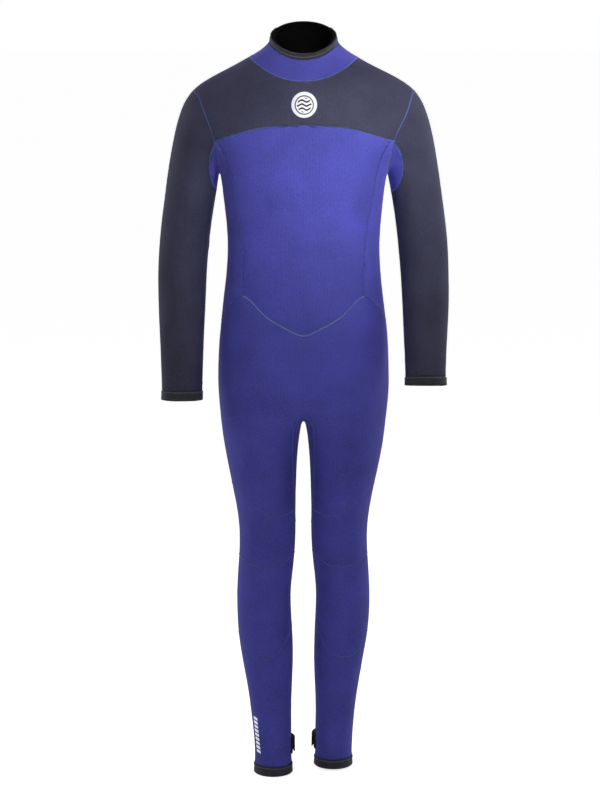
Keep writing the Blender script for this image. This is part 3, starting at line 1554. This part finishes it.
@dataclass
class SeamThreads:
    """The flatlock thread over every seam, and the straight rows beside bindings and zip."""

    finishes: Finishes
    flatlock: Stitch = Stitch(2.0 * MM, 1.45 * MM, 0.42 * MM, 0.32 * MM, 0.35 * MM)
    narrow: Stitch = Stitch(3.2 * MM, 1.25 * MM, 0.4 * MM, 0.26 * MM, 0.4 * MM)
    cover: Stitch = Stitch(3.0 * MM, 1.1 * MM, 0.4 * MM, 0.3 * MM, 0.2 * MM)
    row: Lockstitch = Lockstitch()
    row_offset: float = 1.9 * MM
    cover_offset: float = 2.6 * MM
    cover_height: float = 1.3 * MM
    waist_offset: float = 2.3 * MM

    def kind_of(self, pair: tuple[str, str]) -> str:
        """Which thread sews two pieces together, or an empty word for none."""
        words = " ".join(pair)
        if "slot" in words:
            return ""
        if "binding" in words:
            return "binding"
        if "neck_collar" in words:
            return "collar"
        if "sleeve_front" in words and "sleeve_back" in words:
            return "arm"
        if "sleeve" in words or "shoulder_yoke" in words or "underarm" in words:
            return "bright"
        if "front_torso_panel" in words and "front_hip_panel" in words:
            return "pale"
        if any(word in words for word in ("knee", "shin", "calf", "crotch", "seat")):
            return "leg"
        return "muted"

    def build(self, cloth: Cloth) -> None:
        """Sews every seam of the cut cloth."""
        f = self.finishes
        groups: dict[str, list[SeamPath]] = {}
        for pair, paths in seam_paths(cloth).items():
            kind = self.kind_of(pair)
            if kind:
                groups.setdefault(kind, []).extend(path.smoothed(2) for path in paths)
        zip_paths = [path for pair, paths in seam_paths(cloth).items() if "slot" in pair for path in paths]
        plan = (
            ("bright", "armhole_and_yoke_thread", self.flatlock, f.bright_thread),
            ("muted", "panel_seam_thread", self.narrow, f.muted_thread),
            ("pale", "waist_seam_thread", self.flatlock, f.pale_thread),
            ("leg", "leg_seam_thread", self.narrow, f.leg_thread),
            ("collar", "collar_seam_thread", self.flatlock, f.bright_thread),
            ("arm", "arm_seam_thread", self.narrow, f.black_thread),
        )
        for kind, name, stitch, thread in plan:
            finished(name, stitch.sewn(groups.get(kind, [])), SUIT, (), (thread,))
        rows = []
        covers = []
        for path in groups.get("binding", []):
            line = path.resampled(1.5 * MM)
            raised = SeamPath(line.points + line.normals * 0.2 * MM, line.normals)
            rows.append(self.beside_binding(raised, self.row_offset, False))
            proud = SeamPath(line.points + line.normals * self.cover_height, line.normals)
            covers.append(self.beside_binding(proud, self.cover_offset, True))
        finished("binding_stitch_rows", self.row.sewn(rows), SUIT, (), (f.black_thread,))
        finished("binding_cover_thread", self.cover.sewn(covers), SUIT, (), (f.grey_thread,))
        waist = [path.resampled(1.5 * MM) for path in groups.get("pale", [])]
        below = [self.beside_binding(path, self.waist_offset, False) for path in waist]
        finished("waist_edge_thread", self.row.sewn(below), SUIT, (), (f.black_thread,))
        sides = []
        for path in zip_paths:
            line = path.resampled(2 * MM)
            keep = (np.abs(line.points[:, 0]) > 6 * MM) & (line.points[:, 1] > 0.03)
            if keep.sum() > 8:
                kept = SeamPath(line.points[keep], line.normals[keep])
                outward = np.zeros_like(kept.points)
                outward[:, 0] = np.sign(kept.points[:, 0]) * 2.6 * MM
                sides.append(SeamPath(kept.points + outward, kept.normals))
        finished("zip_edge_stitch_rows", self.row.sewn(sides), SUIT, (), (f.muted_thread,))

    def beside_binding(self, path: SeamPath, across: float, onto: bool) -> SeamPath:
        """Shifts the line of a seam to one side of it.

        Args:
            path: the seam.
            across: how far it is shifted.
            onto: whether it goes towards the nearer end of the suit, where a binding is.

        Returns:
            The shifted line.
        """
        one, two = path.shifted(across), path.shifted(-across)
        high = path.points[:, 2].mean() > -0.35
        lower = one if one.points[:, 2].mean() < two.points[:, 2].mean() else two
        upper = two if lower is one else one
        return lower if high != onto else upper


def deselect_all() -> None:
    """Clears the selection, which operators would otherwise act on."""
    for item in bpy.context.scene.objects:
        item.select_set(False)
    bpy.context.view_layer.objects.active = None


def start_box(name: str, low: tuple, high: tuple) -> bpy.types.Object:
    """Adds a box primitive between two corners in metres, with its size in its mesh."""
    deselect_all()
    centre = [(a + b) / 2 for a, b in zip(low, high)]
    bpy.ops.mesh.primitive_cube_add(size=1, location=centre)
    made = bpy.context.object
    made.name = name
    made.scale = [b - a for a, b in zip(low, high)]
    bpy.ops.object.transform_apply(location=True, rotation=True, scale=True)
    return made


def edit_faces(made: bpy.types.Object, test: Callable, work: Callable) -> None:
    """Runs operators on the chosen faces of a piece in edit mode.

    Args:
        made: the piece.
        test: says whether a polygon is chosen.
        work: calls the operators.
    """
    deselect_all()
    made.select_set(True)
    bpy.context.view_layer.objects.active = made
    bpy.ops.object.mode_set(mode="EDIT")
    bpy.ops.mesh.select_mode(type="FACE")
    bpy.ops.mesh.select_all(action="DESELECT")
    bpy.ops.object.mode_set(mode="OBJECT")
    for polygon in made.data.polygons:
        polygon.select = test(polygon)
    bpy.ops.object.mode_set(mode="EDIT")
    work()
    bpy.ops.object.mode_set(mode="OBJECT")


def rounded(made: bpy.types.Object, width: float, segments: int = 2) -> None:
    """Rounds a piece's sharp edges with a Bevel modifier and applies it."""
    deselect_all()
    made.select_set(True)
    bpy.context.view_layer.objects.active = made
    bevel = made.modifiers.new("soft_edges", "BEVEL")
    bevel.width = width
    bevel.segments = segments
    bevel.limit_method = "ANGLE"
    bpy.ops.object.modifier_apply(modifier=bevel.name)
    bpy.ops.object.shade_smooth_by_angle(angle=math.radians(40))


def joined(name: str, parts: list[bpy.types.Object]) -> bpy.types.Object:
    """Joins some pieces into one."""
    deselect_all()
    for part in parts:
        part.select_set(True)
    bpy.context.view_layer.objects.active = parts[0]
    bpy.ops.object.join()
    parts[0].name = name
    return parts[0]


def dress(piece: bpy.types.Object, body: str, nodes: tuple, material: bpy.types.Material) -> None:
    """Gives a piece its one finish and its place in the frame."""
    piece.data.materials.clear()
    piece.data.materials.append(material)
    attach(piece, body)
    if nodes:
        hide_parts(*nodes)
    LOG.info("%s: %d faces", piece.name, len(piece.data.polygons))


@dataclass
class BackZip:
    """The moulded-tooth zip down the spine: tapes, teeth, stops, slider, pull tab and backing."""

    finishes: Finishes
    plane_y: float = 74.5 * MM
    top: float = -20 * MM
    foot: float = -395 * MM
    pitch: float = 5 * MM
    tape_in: float = 3.3 * MM
    tape_out: float = 19 * MM
    slider_length: float = 14 * MM

    def around(self, x: tuple, y: tuple, z: tuple) -> tuple[tuple, tuple]:
        """Corners of a box from x and y in mm about the zip's plane, and z in metres."""
        low = (x[0] * MM, self.plane_y + y[0] * MM, z[0])
        return low, (x[1] * MM, self.plane_y + y[1] * MM, z[1])

    def build(self) -> None:
        """Builds every part of the zip."""
        self.add_tapes()
        self.add_teeth()
        self.add_stops()
        self.add_backing()
        self.add_slider()
        self.add_pull_tab()

    def add_tapes(self) -> None:
        """The two woven tapes, each with a corded bead along its inner edge."""
        for side, word in SIDES:
            x = sorted((side * self.tape_in / MM, side * self.tape_out / MM))
            tape = start_box(f"zip_tape_{word}_woven", *self.around(x, (-0.45, 0.45), (self.foot, self.top)))
            inner = side * self.tape_in

            def is_inner(polygon: bpy.types.MeshPolygon) -> bool:
                """The long face beside the teeth."""
                return abs(polygon.center.x - inner) < 0.1 * MM

            edit_faces(tape, is_inner, lambda: bpy.ops.mesh.inset(thickness=0.0001, depth=0.0))
            rounded(tape, 0.2 * MM)
            dress(tape, SUIT, (f"zip_tape_{word}",), self.finishes.zip_tape)

    def one_tooth(self, side: int, foot: float) -> bpy.types.Object:
        """A tooth with a waisted neck and a broad head, at the given height."""
        x = sorted((side * 0.7, side * 3.2))
        tooth = start_box("tooth", *self.around(x, (-1.45, 1.45), (foot, foot + 2.7 * MM)))

        def is_head(polygon: bpy.types.MeshPolygon) -> bool:
            """The face that meets the other row."""
            return polygon.normal.x * side < -0.9

        edit_faces(tooth, is_head, lambda: bpy.ops.mesh.inset(thickness=0.35 * MM, depth=0.0))
        edit_faces(tooth, is_head, lambda: bpy.ops.transform.translate(value=(-side * 0.1 * MM, 0, 0)))
        rounded(tooth, 0.35 * MM, 1)
        return tooth

    def add_teeth(self) -> None:
        """One row of teeth on each tape, copied from one tooth."""
        count = int((self.top - self.foot - 0.014) / self.pitch)
        for side, word in SIDES:
            start = self.foot + 0.008 + (self.pitch / 2 if side > 0 else 0)
            tooth = self.one_tooth(side, start)
            x = sorted((side * 2.3, side * 3.6))
            cord_top = start + (count - 1) * self.pitch + 2.7 * MM
            cord = start_box("cord", *self.around(x, (-0.8, 0.8), (start, cord_top)))
            rounded(cord, 0.5 * MM, 3)
            copies = [tooth, cord]
            for number in range(1, count):
                copy = bpy.data.objects.new("tooth", tooth.data.copy())
                copy.data.transform(Matrix.Translation((0, 0, number * self.pitch)))
                bpy.context.scene.collection.objects.link(copy)
                copies.append(copy)
            rack = joined(f"zip_teeth_{word}_moulded", copies)
            dress(rack, SUIT, (f"zip_teeth_{word}",), self.finishes.acetal)

    def add_stops(self) -> None:
        """The stops at both ends of the zip."""
        for side, word in SIDES:
            x = sorted((side * 0.6, side * 3.0))
            corners = self.around(x, (-1.3, 1.3), (self.top - 2.6 * MM, self.top))
            stop = start_box(f"zip_top_stop_{word}_moulded", *corners)
            rounded(stop, 0.4 * MM)
            dress(stop, SUIT, (f"zip_top_stop_{word}",), self.finishes.acetal)
        box = self.around((-3.0, 3.0), (-2.0, 2.0), (self.foot, self.foot + 6 * MM))
        stop = start_box("zip_bottom_stop_moulded", *box)

        def is_back(polygon: bpy.types.MeshPolygon) -> bool:
            """The face that shows at the back."""
            return polygon.normal.y > 0.9

        edit_faces(stop, is_back, lambda: bpy.ops.mesh.inset(thickness=0.9 * MM, depth=-0.4 * MM))
        rounded(stop, 0.45 * MM)
        dress(stop, SUIT, ("zip_bottom_stop",), self.finishes.acetal)

    def add_backing(self) -> None:
        """The soft flap behind the zip, a long sheet with a bound edge."""
        flap = start_box(
            "zip_backing_flap_cloth",
            *self.around((-28.0, 28.0), (-6.4, -4.2), (self.foot - 0.012, self.top - 0.002)),
        )
        edit_faces(
            flap,
            lambda p: abs(p.normal.y) > 0.9,
            lambda: bpy.ops.mesh.inset(thickness=3 * MM, depth=-0.3 * MM),
        )
        edit_faces(flap, lambda p: True, lambda: bpy.ops.mesh.subdivide(number_cuts=6))
        rounded(flap, 0.5 * MM)
        dress(flap, SUIT, ("zip_backing_flap",), self.finishes.lining)

    def add_slider(self) -> None:
        """The slider: two bevelled plates with side flanges, a divider, and lugs for the tab."""
        head = self.top - 4 * MM
        tail = head - self.slider_length
        plates = []
        for back in (1, -1):
            y = sorted((back * 1.9, back * 3.4))
            plate = start_box("plate", *self.around((-7.0, 7.0), y, (tail, head)))

            def is_tail(polygon: bpy.types.MeshPolygon) -> bool:
                """The narrow lower end."""
                return polygon.normal.z < -0.9

            edit_faces(plate, is_tail, lambda: bpy.ops.transform.resize(value=(0.78, 1, 1)))
            rounded(plate, 0.5 * MM, 3)
            plates.append(plate)
            for side in (-1, 1):
                x = sorted((side * 5.4, side * 6.9))
                y = sorted((back * 0.9, back * 2.4))
                flange = start_box("flange", *self.around(x, y, (tail + 4 * MM, head - 0.6 * MM)))
                rounded(flange, 0.3 * MM)
                plates.append(flange)
        corners = self.around((-0.25, 0.25), (-2.2, 2.2), (head - 5 * MM, head - 0.5 * MM))
        divider = start_box("divider", *corners)
        rounded(divider, 0.1 * MM)
        plates.append(divider)
        pin_z = head - 5 * MM
        for side in (-1, 1):
            x = sorted((side * 4.2, side * 6.2))
            lug = start_box("lug", *self.around(x, (3.0, 7.0), (pin_z - 2 * MM, pin_z + 2 * MM)))
            rounded(lug, 0.8 * MM, 3)
            plates.append(lug)
        slider = joined("zip_slider_moulded", plates)
        dress(slider, "slider", ("zip_slider",), self.finishes.acetal)
        deselect_all()
        bpy.ops.mesh.primitive_cylinder_add(
            vertices=20, radius=0.8 * MM, depth=7.8 * MM, location=(0, self.plane_y + 5.6 * MM, pin_z),
            rotation=(0, math.pi / 2, 0),
        )
        pin = bpy.context.object
        pin.name = "zip_slider_pin_moulded"
        bpy.ops.object.transform_apply(location=True, rotation=True, scale=True)
        rounded(pin, 0.15 * MM)
        dress(pin, "slider", ("zip_slider_pin",), self.finishes.acetal)

    def add_pull_tab(self) -> None:
        """The tab that hangs from the slider: a knuckle round the pin and a ribbed, waisted blade."""
        pin_y = self.plane_y + 5.6 * MM
        pin_z = self.top - 9 * MM
        deselect_all()
        bpy.ops.mesh.primitive_torus_add(
            major_segments=24, minor_segments=10, major_radius=1.72 * MM, minor_radius=0.5 * MM,
            location=(0, pin_y, pin_z), rotation=(0, math.pi / 2, 0),
        )
        knuckle = bpy.context.object
        knuckle.scale = (1, 1, 5.6)
        bpy.ops.object.transform_apply(location=True, rotation=True, scale=True)
        bpy.ops.object.shade_smooth()
        low = (-3 * MM, pin_y - 0.7 * MM, pin_z - 32 * MM)
        high = (3 * MM, pin_y + 0.7 * MM, pin_z - 1.7 * MM)
        blade = start_box("blade", low, high)
        edit_faces(
            blade,
            lambda p: abs(p.normal.y) > 0.9,
            lambda: bpy.ops.mesh.inset(thickness=0.9 * MM, depth=-0.22 * MM),
        )
        rounded(blade, 0.25 * MM, 3)
        parts = [knuckle, blade]
        for number in range(6):
            z = pin_z - (12 + 3 * number) * MM
            for back in (-1, 1):
                y = sorted((pin_y + back * 0.35 * MM, pin_y + back * 0.68 * MM))
                rib = start_box("rib", (-2.0 * MM, y[0], z - 0.6 * MM), (2.0 * MM, y[1], z + 0.6 * MM))
                rounded(rib, 0.15 * MM)
                parts.append(rib)
        tab = joined("zip_pull_tab_moulded", parts)
        dress(tab, "pull_tab", ("zip_pull_tab",), self.finishes.acetal)


def within(axis: int, low: float, high: float) -> Field:
    """A field that is positive between two values, in mm, of x, y or z."""
    middle = (low + high) / 2 * MM
    half = (high - low) / 2 * MM
    return lambda p: half - abs(p[axis] - middle)


def rounded_frame(axis: int, low: float, high: float, foot: float, top: float, radius: float) -> Field:
    """A field that is positive inside an upright rectangle with round corners.

    Args:
        axis: 0 where its width runs along x, 1 along y.
        low: its lowest value on that axis, in mm.
        high: its highest.
        foot: its lowest z, in mm.
        top: its highest z.
        radius: the radius of its corners, in mm.

    Returns:
        The field, in metres.
    """
    def inside(p: Vector) -> float:
        """The distance to the edge, positive inside."""
        across = abs(p[axis] / MM - (low + high) / 2) - (high - low) / 2 + radius
        tall = abs(p.z / MM - (foot + top) / 2) - (top - foot) / 2 + radius
        outside = math.hypot(max(across, 0), max(tall, 0)) + min(max(across, tall), 0)
        return (radius - outside) * MM

    return inside


def frame_line(
    area: bmesh.types.BMesh, axis: int, low: float, high: float, foot: float, top: float, out: float,
) -> SeamPath:
    """A rectangle of points laid on the body, for a box of stitches, with sizes in mm and out in metres."""
    corners = [(low, foot), (high, foot), (high, top), (low, top), (low, foot)]
    verts = list(area.verts)
    layer = area.verts.layers.float_vector["normal"]
    points = []
    normals = []
    for (a, b), (c, d) in zip(corners, corners[1:]):
        for step in range(12):
            u = (a + (c - a) * step / 12) * MM
            z = (b + (d - b) * step / 12) * MM
            near = sorted(verts, key=lambda v: (v.co[axis] - u) ** 2 + (v.co.z - z) ** 2)[:3]
            weights = [1 / (math.hypot(v.co[axis] - u, v.co.z - z) + 1e-5) for v in near]
            point = sum((v.co * w for v, w in zip(near, weights)), Vector()) / sum(weights)
            normal = sum((Vector(v[layer]) * w for v, w in zip(near, weights)), Vector()).normalized()
            point[axis] = u
            point.z = z
            points.append(tuple(point + normal * out))
            normals.append(tuple(normal))
    points.append(points[0])
    normals.append(normals[0])
    return SeamPath(np.array(points), np.array(normals))


@dataclass
class NeckClosure:
    """The hook-and-loop flap that shuts the collar over the top of the zip."""

    finishes: Finishes
    low: tuple = (-50, 0, -2)
    high: tuple = (60, 80, 52)

    def area(self, surface: bmesh.types.BMesh) -> bmesh.types.BMesh:
        """The back of the collar, as a fine swatch."""
        return swatch(surface, (Zone.COLLAR,), self.low, self.high, 2)

    def build(self, surface: bmesh.types.BMesh) -> None:
        """Builds the flap with its box of stitches, the hooks under it and the loops on the collar."""
        f = self.finishes
        body = "neck_flap"
        rear = within(1, 5, 200)
        outline = rounded_frame(0, -34, 33, 12, 38, 7)
        flap = patch(self.area(surface), [rear, outline], 5.2 * MM, 3.2 * MM, CLOTH_ROLL)
        cloth = (f.blue, f.lining)
        finished("neck_flap_cloth", flap, body, ("neck_closure_flap",), cloth)
        outline = rounded_frame(0, 12, 31, 14, 36, 3)
        hooks = patch(self.area(surface), [rear, outline], 2.9 * MM, 2.2 * MM, PATCH_ROLL)
        finished("neck_flap_hooks", hooks, body, ("neck_hook_pad",), (f.hooks, f.hooks))
        outline = rounded_frame(0, 11, 44, 11, 39, 3)
        loops = patch(self.area(surface), [rear, outline], 1.9 * MM, 0.9 * MM, PATCH_ROLL)
        finished("collar_loop_tape", loops, SUIT, ("neck_loop_patch",), (f.loops, f.loops))
        area = self.area(surface)
        rows = [
            frame_line(area, 0, -31, -16, 15, 35, 5.2 * MM),
            frame_line(area, 0, 13, 30, 15, 35, 5.2 * MM),
        ]
        area.free()
        thread = Lockstitch(2.6 * MM, 0.28 * MM).sewn(rows)
        finished("neck_flap_thread", thread, "neck_flap", (), (f.bright_thread,))


@dataclass
class AnkleStraps:
    """The small strap that tightens each ankle opening, and its hook-and-loop pads."""

    finishes: Finishes
    form: BodyForm

    def build(self, surface: bmesh.types.BMesh) -> None:
        """Builds the straps of both legs."""
        for side, word in SIDES:
            self.build_one(surface, side, word)

    def build_one(self, surface: bmesh.types.BMesh, side: int, word: str) -> None:
        """Builds one strap."""
        f = self.finishes
        shift = self.form.stride[side] * 0.93
        low_x, high_x = sorted((0.0, side * 42.0))
        low = (low_x, -40 + shift, -1180)
        high = (high_x, 60 + shift, -1125)
        body = f"ankle_strap_{word}"

        def cut(foot_y: float, top_y: float, foot: float, top: float, radius: float) -> list:
            """The limits of one piece on the inner side of the ankle."""
            return [rounded_frame(1, foot_y + shift, top_y + shift, foot, top, radius)]

        def area() -> bmesh.types.BMesh:
            """A fresh swatch of the ankle."""
            return swatch(surface, (Zone.LEG,), low, high, 2)

        strap = patch(area(), cut(1, 50, -1166, -1141, 5), 6.2 * MM, 4.2 * MM, CLOTH_ROLL)
        node = f"ankle_strap_{word}"
        finished(f"ankle_strap_{word}_webbing", strap, body, (node,), (f.strap, f.strap))
        hooks = patch(area(), cut(3, 21, -1164, -1143, 2.5), 3.9 * MM, 2.9 * MM, PATCH_ROLL)
        node = f"strap_hook_pad_{word}"
        finished(f"ankle_strap_{word}_hooks", hooks, body, (node,), (f.hooks, f.hooks))
        loops = patch(area(), cut(-5, 25, -1168, -1139, 2.5), 2.5 * MM, 1.1 * MM, PATCH_ROLL)
        node = f"strap_loop_patch_{word}"
        finished(f"ankle_{word}_loop_tape", loops, SUIT, (node,), (f.loops, f.loops))
        small = area()
        rows = [frame_line(small, 1, 24 + shift, 36 + shift, -1162, -1145, 6.2 * MM)]
        small.free()
        thread = Lockstitch(2.6 * MM, 0.28 * MM).sewn(rows)
        finished(f"ankle_strap_{word}_thread", thread, body, (), (f.muted_thread,))


@dataclass
class FrontTrim:
    """The round badge on the chest and the column of bars on the right leg."""

    finishes: Finishes
    badge_centre: tuple = (1.0, -79.0)
    badge_radius: float = 20.5
    bars: int = 9

    def build(self, surface: bmesh.types.BMesh) -> None:
        """Builds the badge and the bars."""
        f = self.finishes
        area = swatch(surface, (Zone.TORSO,), (-32, -140, -112), (34, -40, -46), 3)
        x, z = self.badge_centre

        def disc(p: Vector) -> float:
            """Positive inside the badge."""
            return (self.badge_radius - math.hypot(p.x / MM - x, p.z / MM - z)) * MM

        badge = patch(area, [disc], 1.9 * MM, 1.0 * MM, PATCH_ROLL)
        finished("chest_badge_moulded", badge, SUIT, ("chest_badge",), (f.badge, f.badge))
        area = swatch(surface, (Zone.LEG,), (-96, -120, -1172), (-58, -20, -1092), 3)
        leaning = smooth_curve([(-1163, -74), (-1099, -80)])
        spacing = 63.0 / self.bars

        def bar(p: Vector) -> float:
            """Positive inside one of the slanting bars."""
            across = p.x - leaning(p.z)
            along = (p.z / MM + 1162.5 + across / MM * 0.35) / spacing
            tall = (0.30 - abs(along - math.floor(along) - 0.5)) * spacing * MM
            return min(tall, 2.8 * MM - abs(across))

        ends = within(2, -1163, -1099)
        edge = Roll(0.15 * MM, 0.2 * MM, 0.15 * MM, 0.05 * MM, 0.0)
        print_mesh = patch(area, [ends, bar], 1.3 * MM, 0.9 * MM, edge)
        finished("leg_bars_print", print_mesh, SUIT, ("leg_stripes",), (f.film, f.film))


@dataclass
class Studio:
    """Pale sweep, soft lights and the camera."""

    camera_place: tuple = (-0.0058, -4.2, 0.05)
    tilt_down: float = 8.4
    lens: float = 114.7
    floor_gap: float = 1 * MM
    ambient: float = 0.2

    def build(self, foot: float) -> None:
        """Builds the studio round a suit whose lowest point is at the given height."""
        self.add_floor(foot - self.floor_gap)
        self.add_light("key", (1.0, -2.1, 0.75), (0.05, 0.0, -0.19), 0.3, 0.54, 15.5)
        self.add_light("fill", (0.0, -2.8, 0.3), (0.0, 0.0, -0.5), 1.6, 16.0, 180)
        self.add_light("top", (0.1, -0.3, 1.8), (0.0, 0.0, -0.3), 1.2, 5.0, 180)
        self.add_light("left_rim", (2.0, 0.9, 0.2), (0.0, 0.0, -0.5), 1.2, 16.0, 180)
        self.add_light("right_rim", (-2.0, 0.9, 0.2), (0.0, 0.0, -0.5), 1.2, 14.0, 180)
        world = bpy.context.scene.world or bpy.data.worlds.new("studio")
        bpy.context.scene.world = world
        world.use_nodes = True
        sky = world.node_tree.nodes["Background"]
        sky.inputs["Color"].default_value = hex_colour("#FFFFFF")
        # The world is white where the camera sees it directly, and dimmer where it lights the suit.
        seen = add_node(world.node_tree, "ShaderNodeLightPath").outputs["Is Camera Ray"]
        strength = add_node(world.node_tree, "ShaderNodeMapRange", None, {
            "Value": seen, "To Min": self.ambient, "To Max": 1.0,
        }).outputs["Result"]
        world.node_tree.links.new(strength, sky.inputs["Strength"])
        bpy.context.scene.view_settings.view_transform = "Standard"
        self.add_camera()

    def add_floor(self, level: float) -> None:
        """A floor so wide that its edge is lost in the white behind it."""
        deselect_all()
        bpy.ops.mesh.primitive_plane_add(size=240, location=(0, 0, level))
        floor = bpy.context.object
        floor.name = "studio_floor"
        bpy.ops.object.transform_apply(location=True, rotation=True, scale=True)
        floor.data.materials.append(StudioPaper().build())
        floor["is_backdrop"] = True

    def add_light(
        self, name: str, place: tuple, target: tuple, size: float, power: float, spread: float,
    ) -> None:
        """A round soft light that faces a point of the suit, with its beam kept within some degrees."""
        data = bpy.data.lights.new(name, "AREA")
        data.shape = "DISK"
        data.size = size
        data.energy = power
        data.spread = math.radians(spread)
        light = bpy.data.objects.new(name, data)
        light.location = place
        aim = Vector(target) - Vector(place)
        light.rotation_euler = aim.to_track_quat("-Z", "Y").to_euler()
        bpy.context.scene.collection.objects.link(light)

    def add_camera(self) -> None:
        """The camera in front of the suit, a little above its chest."""
        data = bpy.data.cameras.new("camera")
        data.lens = self.lens
        data.sensor_width = 36
        camera = bpy.data.objects.new("camera", data)
        camera.location = self.camera_place
        camera.rotation_euler = (math.radians(90 - self.tilt_down), 0, 0)
        bpy.context.scene.collection.objects.link(camera)
        bpy.context.scene.camera = camera


def main() -> None:
    """Builds the whole suit and its studio, in order."""
    logging.basicConfig(level=logging.INFO, format="%(name)s %(message)s")
    cad_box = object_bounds()
    form = BodyForm()
    surface = form.surface(3)
    Armholes().shape(surface)
    Drape().shape(surface)
    finishes = Finishes()
    NeckClosure(finishes).build(surface)
    AnkleStraps(finishes, form).build(surface)
    FrontTrim(finishes).build(surface)
    cloth = SeamPlan().cut(surface, form)
    SewnPanels(finishes).build(surface, cloth)
    SeamThreads(finishes).build(cloth)
    surface.free()
    BackZip(finishes).build()
    Studio().build(cad_box[0][2])


if __name__ == "__main__":
    main()
